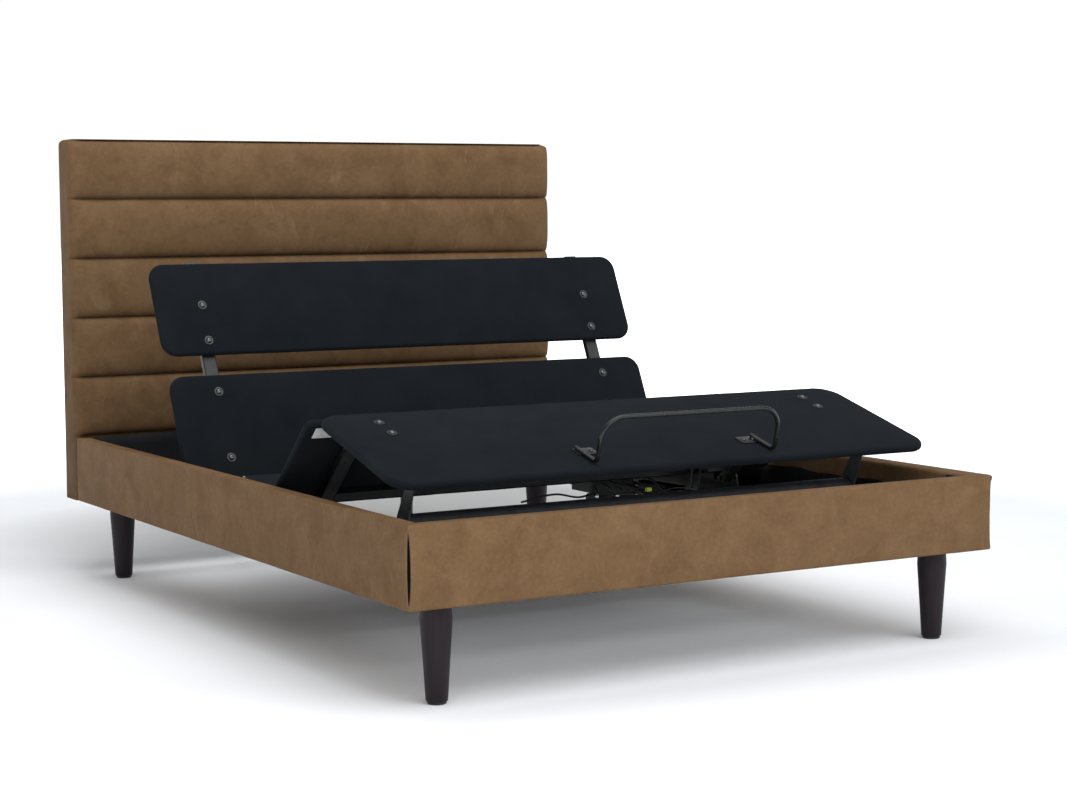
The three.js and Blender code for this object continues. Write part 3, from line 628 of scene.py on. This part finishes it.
def make_footboard():
    """A leather sleeve between the two foot corners, mitred at both ends."""
    section = rail_section()
    rings = []
    for share, shrink in mitre_shares(2 * HALF_WIDTH):
        ring = []
        for across, z in section:
            reach = HALF_WIDTH - across - corner_gap(z)
            x = -reach + 2 * reach * share
            inwards, height = upholstered(across, z, x, 47, shrink)
            ring.append((x, FOOT_FRONT + inwards, height))
        rings.append(ring)
    piece = loft("footboard_leather", rings, "rail_leather")
    line_ends(piece, len(section))
    settle(piece, "bed_frame", "leather", "footboard_cover", "footboard_board")
    for side, sign in SIDES:
        make_corner_slit_shade(side, sign)


SLIT_SHADE_HALF = 0.0016
SLIT_SHADE_OUT, SLIT_SHADE_IN = 0.0140, 0.0450         # how far in from the corner the black sheet of painted shade runs


def make_corner_slit_shade(side, sign):
    """A black sheet in the slit where a side rail meets the footboard on a mitre: painted shade standing in for
    the dark inside of the slit.
    """
    rings = []
    for z in (RAIL_LOW + 0.004, RAIL_LOW + 0.008, RAIL_HIGH - 0.016, RAIL_HIGH - 0.012):
        ring = []
        for along, off in ((SLIT_SHADE_OUT, -SLIT_SHADE_HALF), (SLIT_SHADE_IN, -SLIT_SHADE_HALF),
                           (SLIT_SHADE_IN, SLIT_SHADE_HALF), (SLIT_SHADE_OUT, SLIT_SHADE_HALF)):
            ring.append((sign * (HALF_WIDTH - along + off), FOOT_FRONT + along + off, z))
        rings.append(ring)
    piece = loft(f"corner_slit_shade_{side}", rings, "lining")
    settle(piece, "bed_frame", "lining")


CHANNEL_PITCH = (HEAD_TOP - CHANNEL_LOW) / CHANNELS
HEAD_SEAM = 0.032            # depth of a seam under the channels' crowns
SEAM_SHARP = 0.0050          # how quickly the leather dives into a seam
HEAD_ROUND = 0.020
TOP_ROUND = 0.016
BACK_ROUND = 0.012
HEAD_COLUMNS = 132


def channel_depth(z):
    """0 on a channel's crown, 1 in the seam between two channels."""
    place = (z - CHANNEL_LOW) / CHANNEL_PITCH
    t = place - math.floor(place)
    if place <= 0 or place >= CHANNELS:
        t = 0.5 if place > 0 else 0.0
    sharp = math.exp(-(min(t, 1 - t) * CHANNEL_PITCH / SEAM_SHARP))
    return 0.44 * abs(2 * t - 1) ** 3.0 + 0.56 * sharp


def headboard_rows():
    """Heights of the rings, closer together near a seam."""
    rows = [RAIL_LOW + (CHANNEL_LOW - RAIL_LOW) * k / 8 for k in range(8)]
    shares = [0, 0.006, 0.013, 0.022, 0.036, 0.055, 0.09, 0.14, 0.2, 0.28, 0.36, 0.45, 0.55, 0.64, 0.72, 0.8,
              0.86, 0.91, 0.945, 0.964, 0.978, 0.987, 0.994]
    for channel in range(CHANNELS):
        rows += [CHANNEL_LOW + CHANNEL_PITCH * (channel + share) for share in shares]
    return [z for z in rows if z < HEAD_TOP - TOP_ROUND]


def headboard_front(x, z):
    """Y of the leather's front face."""
    side = (HALF_WIDTH - abs(x))
    seam_reach = 1 - math.exp(-max(side - 0.014, 0) / 0.009)
    depth = channel_depth(z) * seam_reach if z > CHANNEL_LOW - 0.001 else 0.08
    pucker = channel_depth(z) * wobble(x, 3, z * 0.4, 30, 0.0022) * seam_reach
    soft = wobble(x, 1, z, 5, 0.0022) + wobble(x, 8, z * 1.6, 16, 0.0009)
    return HEAD_FRONT + 0.001 + HEAD_SEAM * depth + (soft + pucker) * min(side / 0.05, 1)


def make_headboard():
    """One sewn leather cover over the whole headboard, with a rounded top edge."""
    rings = [headboard_ring(z, 0.0) for z in headboard_rows()]
    for k in range(1, 7):
        a = math.radians(90 * k / 6)
        z = HEAD_TOP - TOP_ROUND + TOP_ROUND * math.sin(a)
        rings.append(headboard_ring(z, TOP_ROUND * (1 - math.cos(a))))
    piece = loft("headboard_leather", rings, "headboard_leather")
    settle(piece, "bed_frame", "leather", "headboard_cover", "headboard_core")


def headboard_ring(z, inset):
    """One level of the headboard: channelled front, round corners, plain sides and back."""
    half = HALF_WIDTH - inset
    middle = half - HEAD_ROUND
    back = HEAD_BACK - inset
    ring = []
    for k in range(HEAD_COLUMNS + 1):
        u = 2 * k / HEAD_COLUMNS - 1
        x = middle * (0.55 * u + 0.45 * u ** 3)
        ring.append((x, headboard_front(x, z) + inset, z))
    fronts = {sign: headboard_front(sign * middle, z) + inset for _, sign in SIDES}

    def front_corner(sign, steps):
        for k in steps:
            a = math.radians(90 * k / 6)
            ring.append((sign * (middle + HEAD_ROUND * math.sin(a)),
                         fronts[sign] + HEAD_ROUND - HEAD_ROUND * math.cos(a), z))

    def side_face(sign, shares):
        deep = back - BACK_ROUND - fronts[sign] - HEAD_ROUND
        for share in shares:
            ring.append((sign * half, fronts[sign] + HEAD_ROUND + deep * share, z))

    def back_corner(sign, steps):
        for k in steps:
            a = math.radians(90 * k / 4)
            ring.append((sign * (half - BACK_ROUND + BACK_ROUND * math.cos(a)),
                         back - BACK_ROUND + BACK_ROUND * math.sin(a), z))

    front_corner(1, range(1, 7))
    side_face(1, (0.35, 0.7))
    back_corner(1, range(5))
    for k in range(1, 16):
        ring.append(((half - BACK_ROUND) * (1 - 2 * k / 16), back, z))
    back_corner(-1, range(4, -1, -1))
    side_face(-1, (0.7, 0.35))
    front_corner(-1, range(6, 0, -1))
    return ring


LINING_LIFT = 0.004          # the linings start this far above the rails' bottom
LINING_TOP = 0.360
LINING_OFF, LINING_THICK = 0.0022, 0.0010  # how far the cloth stands off its rail, and its thickness
LINING_ROWS = 7


def lining_sheet(name, columns, place):
    """A thin cloth sheet; place(u, v, back) gives its front and back faces, with u and v from 0 to 1."""
    rows = LINING_ROWS
    points = []
    for back in (0, 1):
        for j in range(rows + 1):
            for i in range(columns + 1):
                points.append(place(i / columns, j / rows, back))
    stride = columns + 1
    layer = stride * (rows + 1)
    faces = []
    for j in range(rows):
        for i in range(columns):
            a = j * stride + i
            faces.append((a, a + 1, a + 1 + stride, a + stride))
            faces.append((layer + a + stride, layer + a + 1 + stride, layer + a + 1, layer + a))
    rim = [i for i in range(columns)] + [columns + j * stride for j in range(rows)]
    rim += [rows * stride + i for i in range(columns, 0, -1)] + [j * stride for j in range(rows, 0, -1)]
    for k, a in enumerate(rim):
        b = rim[(k + 1) % len(rim)]
        faces.append((a, layer + a, layer + b, b))
    piece = mesh_object(name, points, faces, "lining")
    fix_normals(piece)
    return piece


def cut_edge(height, along, slow, quick):
    """Height of a lining's hand-cut top edge at a place along it; slow and quick are noise places."""
    return height + wobble(along, *slow, 9, 0.006) + wobble(along, *quick, 30, 0.003)


def make_linings():
    """Black dust-cover cloth on the inner faces of the rails and low on the headboard."""
    inner = HALF_WIDTH - RAIL_THICK
    low = RAIL_LOW + LINING_LIFT
    y0, y1 = FOOT_FRONT + RAIL_THICK + 0.002, HEAD_FRONT - 0.004
    for side, sign in SIDES:
        def place(u, v, back, sign=sign):
            y = y0 + (y1 - y0) * u
            top = cut_edge(LINING_TOP + 0.002, y, (2, sign), (7, sign))
            z = low + (top - low) * v
            off = LINING_OFF + wobble(y, z, 4, 11, 0.0008) - LINING_THICK * back
            return (sign * (inner - off), y, z)
        piece = lining_sheet(f"side_rail_lining_{side}", 110, place)
        settle(piece, "bed_frame", "lining")

    def foot(u, v, back):
        x = (inner - 0.003) * (2 * u - 1)
        top = cut_edge(LINING_TOP, x, (5, 1), (3, 1))
        z = low + (top - low) * v
        off = LINING_OFF + wobble(x, z, 9, 11, 0.0008) - LINING_THICK * back
        return (x, FOOT_FRONT + RAIL_THICK + off, z)
    piece = lining_sheet("footboard_lining", 80, foot)
    settle(piece, "bed_frame", "lining")

    def head(u, v, back):
        x = (inner - 0.003) * (2 * u - 1)
        z = low + (CHANNEL_LOW - 0.003 - low) * v
        return (x, HEAD_FRONT - 0.0012 + wobble(x, z, 2, 8, 0.0006) + 0.0014 * back, z)
    piece = lining_sheet("headboard_lining_cloth", 80, head)
    settle(piece, "bed_frame", "lining", "headboard_lining")


# ---------- legs ----------
LEG_PROFILE = ((0.0272, 0.045), (0.0300, 0.090), (0.0333, 0.140), (0.0362, 0.183),
               (0.0366, 0.190), (0.0362, 0.198), (0.0352, 0.214))     # (radius, height)
GLIDE_PROFILE = ((0.0195, 0), (0.0208, 0.0008), (0.0220, 0.004), (0.0216, 0.0059))


def make_legs():
    """Turned legs that swell below the rails, each on a plastic glide."""
    for end in ("front", "rear"):
        for side, _ in SIDES:
            low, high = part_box(f"leg_{end}_{side}")
            centre = ((low.x + high.x) / 2, (low.y + high.y) / 2, 0)
            profile = [(0.0235, low.z + 0.0001), (0.0250, low.z + 0.002), *LEG_PROFILE,
                       (0.0350, high.z - 0.0015), (0.0340, high.z)]
            leg = lathe(f"leg_turned_{end}_{side}", profile, centre, "leg_wood")
            settle(leg, "bed_frame", "leg_wood", f"leg_{end}_{side}")
            glide = lathe(f"glide_{end}_{side}", GLIDE_PROFILE, centre, "black_plastic", 40)
            settle(glide, "bed_frame", "black_plastic", f"leg_glide_{end}_{side}")


# ---------- deck ----------
PANEL_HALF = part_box("seat_panel")[1].x
PANEL_EDGE = 0.0085
PANEL_STEP = 0.034
PANELS = (
    # CAD node, from and to along its section, corner radius, section, body, material
    ("seat_panel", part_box("seat_panel")[0].y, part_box("seat_panel")[1].y, 0.016, on_seat, "bed_frame",
     "deck_cloth"),
    ("back_panel", 0.010, 0.3185, 0.045, on_back, "back_section", "back_cloth"),
    ("head_panel", 0.3795, 0.6545, 0.045, on_back, "back_section", "back_cloth"),
    ("thigh_panel", -0.344, -0.010, 0.020, on_thigh, "thigh_section", "deck_cloth"),
    ("leg_panel", -0.455, -0.010, 0.060, on_leg, "leg_section", "deck_cloth"),
)


def panel_section():
    """(inset, height) pairs up one edge of a panel, both faces' edges rounded."""
    lower = []
    for share in (0, 0.3, 0.6, 0.85, 1):
        inset = PANEL_EDGE * (1 - math.sin(math.pi / 2 * share))
        lower.append((inset, PANEL_RISE + PANEL_EDGE * (1 - math.cos(math.pi / 2 * share))))
    return lower + [(inset, 2 * PANEL_RISE + PANEL_THICK - z) for inset, z in lower[::-1]]


def padded_panel(node, y0, y1, radius, place, body, material):
    """A board in a stretched cloth cover: soft edges, barely crowned faces, slight print-through."""
    section = panel_section()
    points = []
    for inset, z in section:
        outline = rounded_outline(-PANEL_HALF + inset, PANEL_HALF - inset, y0 + inset, y1 - inset,
                                  max(radius - inset, 0.002), 10, PANEL_STEP)
        for x, y in outline:
            soft = wobble(x, y, z * 2, 14, 0.0006)
            points.append(place(x, y + soft, z + soft * 0.5))
    count = len(points) // len(section)
    faces = ring_faces(len(section), count)
    faces.append(list(range(count))[::-1])
    faces.append([len(points) - count + k for k in range(count)])
    piece = mesh_object(f"{node}_cover", points, faces, material)
    fix_normals(piece)
    settle(piece, body, "deck_cloth", node)


# ---------- panel bolts ----------
BOLT_X = 0.624
BOLT_ROWS = (
    # name, section, body, places along the section
    ("back", on_back, "back_section", (0.0735, 0.2665, 0.4195, 0.526)),
    ("leg", on_leg, "leg_section", (-0.080, -0.150)),
    ("thigh", on_thigh, "thigh_section", (-0.070, -0.280)),
    ("seat", on_seat, "bed_frame", (-0.19, 0.22)),
)
WASHER_PROFILE = ((0.0060, 0.0004), (0.0135, -0.0002), (0.0140, 0.0010), (0.0128, 0.0022), (0.0095, 0.0016),
                  (0.0060, 0.0010))
BUTTON_PROFILE = ((0.0078, 0.0006), (0.0078, 0.0022), (0.0070, 0.0040), (0.0052, 0.0054), (0.0032, 0.0060),
                  (0.0026, 0.0060), (0.0024, 0.0038), (0.0010, 0.0036))


def make_bolt(name, place, x, y, body):
    """A button head in a dished washer on a panel's top face."""
    face = PANEL_RISE + PANEL_THICK
    here = place(x, y, face)
    normal = (place(x, y, face + 1) - here).normalized()
    dish = lathe(f"{name}_washer", WASHER_PROFILE, here, "bolt_black", 40, normal)
    settle(dish, body, "frame_steel")
    button = lathe(f"{name}_head", BUTTON_PROFILE, here, "bolt_head", 32, normal)
    settle(button, body, "rod_steel")


def make_bolts():
    for label, place, body, spots in BOLT_ROWS:
        for i, y in enumerate(spots):
            for side, sign in SIDES:
                make_bolt(f"{label}_bolt_{i + 1}_{side}", place, sign * BOLT_X, y, body)


def make_label():
    """A blank rating label on the underside of the thigh panel, near the knee."""
    x0, x1, y0, y1 = -0.736, -0.684, -0.330, -0.292
    label = rounded_block("rating_label", x0, x1, y0, y1, PANEL_RISE - 0.0012, PANEL_RISE + 0.0004,
                          0.003, 0.0003, "label", on_thigh)
    settle(label, "thigh_section", "grey_plastic")


# ---------- mattress retainer, foot link ----------
RETAINER_LEFT, RETAINER_RIGHT = -0.228, 0.281      # all in the leg section's own frame
RETAINER_FRONT, RETAINER_REAR = -0.430, -0.332
RETAINER_BASE, RETAINER_TOP = 0.0403, 0.1505
RETAINER_BEND, RETAINER_HEEL = 0.058, 0.014
RETAINER_RADIUS = 0.0055
PLATE_FACE = PANEL_RISE + PANEL_THICK + 0.0004
PLATE_THICK = 0.003
SCREW_PROFILE = ((0.0050, 0.0), (0.0050, 0.0012), (0.0040, 0.0026), (0.0018, 0.0032), (0.0010, 0.0020))


def quarter(centre, start, end, radius):
    """A quarter turn about centre, from the direction start to the direction end."""
    turns = [math.pi / 2 * k / 10 for k in range(11)]
    return [Vector(centre) + (start * math.cos(t) + end * math.sin(t)) * radius for t in turns]


def retainer_path():
    """Forward along the panel, up round the heel, over the top and back down the other side."""
    across, along, rise = Vector((1, 0, 0)), Vector((0, 1, 0)), Vector((0, 0, 1))
    foot = RETAINER_FRONT + RETAINER_HEEL
    low, high = RETAINER_BASE + RETAINER_HEEL, RETAINER_TOP - RETAINER_BEND
    straight = [RETAINER_REAR + (foot - RETAINER_REAR) * k / 6 for k in range(6)]
    path = [(RETAINER_LEFT, y, RETAINER_BASE) for y in straight]
    path += quarter((RETAINER_LEFT, foot, low), -rise, -along, RETAINER_HEEL)
    path += quarter((RETAINER_LEFT + RETAINER_BEND, RETAINER_FRONT, high), -across, rise, RETAINER_BEND)
    path += quarter((RETAINER_RIGHT - RETAINER_BEND, RETAINER_FRONT, high), rise, across, RETAINER_BEND)
    path += quarter((RETAINER_RIGHT, foot, low), -along, -rise, RETAINER_HEEL)
    path += [(RETAINER_RIGHT, y, RETAINER_BASE) for y in straight[::-1]]
    return path


def make_retainer_plate(label, x0, x1):
    """The plate that holds one end of the retainer to the panel, with its two screws."""
    plate = rounded_block(f"retainer_plate_{label}", x0, x1, RETAINER_REAR - 0.034, RETAINER_REAR + 0.006,
                          PLATE_FACE, PLATE_FACE + PLATE_THICK, 0.006, 0.0008, "retainer_steel", on_leg)
    settle(plate, "leg_section", "link_steel")
    y, top = RETAINER_REAR - 0.014, PLATE_FACE + PLATE_THICK
    for i, x in enumerate((x0 + 0.014, x1 - 0.012)):
        here = on_leg(x, y, top)
        up = (on_leg(x, y, top + 1) - here).normalized()
        screw = lathe(f"retainer_screw_{label}_{i + 1}", SCREW_PROFILE, here, "bolt_head", 24, up)
        settle(screw, "leg_section", "rod_steel")


def make_retainer():
    """The bent bar that keeps the mattress from sliding off the foot end, and its plates."""
    bar = tube("retainer_rod", [on_leg(*p) for p in retainer_path()], RETAINER_RADIUS, "retainer_steel", 20)
    settle(bar, "leg_section", "link_steel", "retainer_bar")
    make_retainer_plate("left", RETAINER_LEFT - 0.008, RETAINER_LEFT + 0.046)
    make_retainer_plate("right", RETAINER_RIGHT - 0.046, RETAINER_RIGHT + 0.008)


CROSSBAR_HALF = 0.6450
CROSSBAR_PLACE = (-0.1007, -0.0117)                # y and z in the foot link's own frame
CROSSBAR_RADIUS = 0.019


def make_crossbar():
    path = [on_link(CROSSBAR_HALF * (k / 20 - 1), *CROSSBAR_PLACE) for k in range(41)]
    bar = tube("foot_link_torsion_bar", path, CROSSBAR_RADIUS, "link_steel", 40)
    settle(bar, "foot_link", "link_steel", "foot_link_crossbar")


# ---------- electrics under the seat ----------
WIRE = 0.0035
TUBE_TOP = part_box("cross_tube_foot")[1].z
BRACKET_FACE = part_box("cross_tube_thigh")[0].y - 0.0003   # just in front of the cross tube under the thighs
BRACKET_THICK = 0.003
BRACKET_BOLT = ((0.0062, 0.0), (0.0062, 0.003), (0.0048, 0.0046), (0.002, 0.0052))
HARNESS = {
    "harness_wire_1": [(0.262, -0.1512, 0.318), (0.222, -0.235, 0.306), (0.165, -0.318, 0.302),
                       (0.128, -0.378, 0.319), (0.172, -0.412, 0.333), (0.236, -0.392, 0.326),
                       (0.276, -0.322, 0.305), (0.318, -0.240, 0.301), (0.336, -0.1512, 0.314)],
    "harness_wire_2": [(0.300, -0.1512, 0.336), (0.306, -0.230, 0.327), (0.322, -0.322, 0.314),
                       (0.358, -0.398, 0.336), (0.416, -0.406, 0.330), (0.448, -0.360, 0.308),
                       (0.438, -0.262, 0.302), (0.398, -0.192, 0.305), (0.372, -0.1512, 0.318)],
    "harness_wire_3": [(0.282, -0.1512, 0.328), (0.262, -0.232, 0.322), (0.214, -0.306, 0.311),
                       (0.198, -0.366, 0.303), (0.240, -0.412, 0.314), (0.312, -0.414, 0.323),
                       (0.352, -0.358, 0.303), (0.356, -0.262, 0.311), (0.350, -0.1512, 0.326)],
}
PLUGS = (
    ("plug_green", (0.292, -0.372, 0.334), (0.016, 0.012, 0.010), "yellow_plastic"),
    ("plug_pale", (0.318, -0.3445, 0.3035), (0.030, 0.020, 0.021), "pale_plastic"),
    ("plug_violet", (0.384, -0.3420, 0.3130), (0.036, 0.014, 0.010), "violet_plastic"),
    ("plug_red", (0.411, -0.3440, 0.3065), (0.008, 0.014, 0.027), "red_plastic"),
    ("junction", (0.438, -0.3360, 0.3045), (0.034, 0.026, 0.026), "dark_plastic"),
)


def path_length(points):
    return sum((b - a).length for a, b in zip(points, points[1:]))


def on_bracket(across, up, out):
    """A point on the bracket's front: across the bed, up, and out towards the foot."""
    return Vector((across, BRACKET_FACE - out, up))


def make_harness():
    """Loose wires and plugs in front of the control box, lying over a cross tube."""
    for name, route in HARNESS.items():
        path = smooth_path(route, 0.006)
        wire = tube(name, path, WIRE / 2, "cable", 10)
        tuple(path[0])
        round(path_length(path), 3)
        [tuple(q) for q in path]
        settle(wire, "bed_frame", "cable")
    for name, (x, y, z), (w, d, h), material in PLUGS:
        plug = rounded_block(name, x - w / 2, x + w / 2, y - d / 2, y + d / 2, z - h / 2, z + h / 2,
                             0.002, 0.001, material)
        settle(plug, "bed_frame", "black_plastic")


def make_bracket():
    """The plate on the cross tube that the wires pass, with three bolts."""
    plate = rounded_block("cable_bracket", 0.108, 0.282, TUBE_TOP - 0.014, 0.334, 0, BRACKET_THICK,
                          0.008, 0.0006, "retainer_steel", on_bracket)
    settle(plate, "bed_frame", "link_steel")
    for i, (x, z) in enumerate(((0.140, 0.324), (0.204, 0.322), (0.262, 0.318))):
        bolt = lathe(f"cable_bracket_bolt_{i + 1}", BRACKET_BOLT, on_bracket(x, z, BRACKET_THICK), "zinc", 28,
                     (0, -1, 0))
        settle(bolt, "bed_frame", "rod_steel")


# ---------- floor, light ----------
WORLD_HORIZON = 1.04
WORLD_TOP = 0.42
WORLD_LEFT = 0.88
SUN_POWER = 2.5
OVER_POWER = 24
FLOOR_HALF = 60


def make_stage():
    corners = [(-1, -1), (1, -1), (1, 1), (-1, 1)]
    floor = mesh_object("floor", [(FLOOR_HALF * x, FLOOR_HALF * y, 0) for x, y in corners], [(0, 1, 2, 3)],
                        "paper", False)


def soft_light(name, place, target, size, power):
    data = bpy.data.lights.new(name, "AREA")
    data.shape = "RECTANGLE"
    data.size, data.size_y = size
    data.energy = power
    lamp = bpy.data.objects.new(name, data)
    lamp.location = place
    lamp.rotation_euler = (Vector(target) - Vector(place)).to_track_quat("-Z", "Y").to_euler()
    scene.collection.objects.link(lamp)


def make_light():
    """White walls low down, a dimmer ceiling, a broad soft light from above and a near one over the bed."""
    world = bpy.data.worlds.new("studio")
    scene.world = world
    world.use_nodes = True
    tree = world.node_tree
    place = tree.nodes.new("ShaderNodeTexCoord")
    split = tree.nodes.new("ShaderNodeSeparateXYZ")
    tree.links.new(place.outputs["Generated"], split.inputs[0])
    both = tree.nodes.new("ShaderNodeMath")
    both.operation = "MULTIPLY"
    for i, (axis, values) in enumerate((("Z", (0.14, 0.34, WORLD_HORIZON, WORLD_TOP)),
                                        ("X", (-0.85, -0.15, WORLD_LEFT, 1.0)))):
        fade = tree.nodes.new("ShaderNodeMapRange")
        fade.interpolation_type = "SMOOTHSTEP"
        tree.links.new(split.outputs[axis], fade.inputs["Value"])
        for key, value in zip(RANGE_INPUTS, values):
            fade.inputs[key].default_value = value
        tree.links.new(fade.outputs["Result"], both.inputs[i])
    back = tree.nodes["Background"]
    tree.links.new(both.outputs[0], back.inputs["Strength"])
    back.inputs["Color"].default_value = (0.985, 0.992, 1.0, 1)
    sun = bpy.data.lights.new("ceiling", "SUN")
    sun.angle = math.radians(75)
    sun.energy = SUN_POWER
    lamp = bpy.data.objects.new("ceiling", sun)
    lamp.rotation_euler = (Vector((-0.06, 0.75, -1))).to_track_quat("-Z", "Y").to_euler()
    scene.collection.objects.link(lamp)
    soft_light("over_bed", (-0.4, 0.1, 2.7), (0, 0.6, 0.3), (2.4, 1.6), OVER_POWER)
    scene.view_settings.view_transform = "Standard"


# ---------- materials on the CAD nodes that stay ----------
SLOT_MATERIAL = {"leather": "rail_leather", "lining": "lining", "deck_cloth": "deck_cloth", "board": "board",
                 "leg_wood": "leg_wood", "frame_steel": "frame_steel", "link_steel": "link_steel",
                 "rod_steel": "rod_steel", "black_plastic": "black_plastic", "grey_plastic": "dark_plastic",
                 "cable": "cable"}


def dress_nodes():
    for part in frame["record"]["subparts"]:
        mesh = nodes[part["node"]].data
        mesh.materials.clear()
        mesh.materials.append(MATERIALS[SLOT_MATERIAL[part["material_slot"]]])


make_camera()
dress_nodes()
make_headboard()
for rail_side, rail_sign in SIDES:
    make_side_rail(rail_side, rail_sign)
make_footboard()
make_linings()
make_legs()
for panel in PANELS:
    padded_panel(*panel)
make_bolts()
make_label()
make_retainer()
make_crossbar()
make_harness()
make_bracket()
make_stage()
make_light()
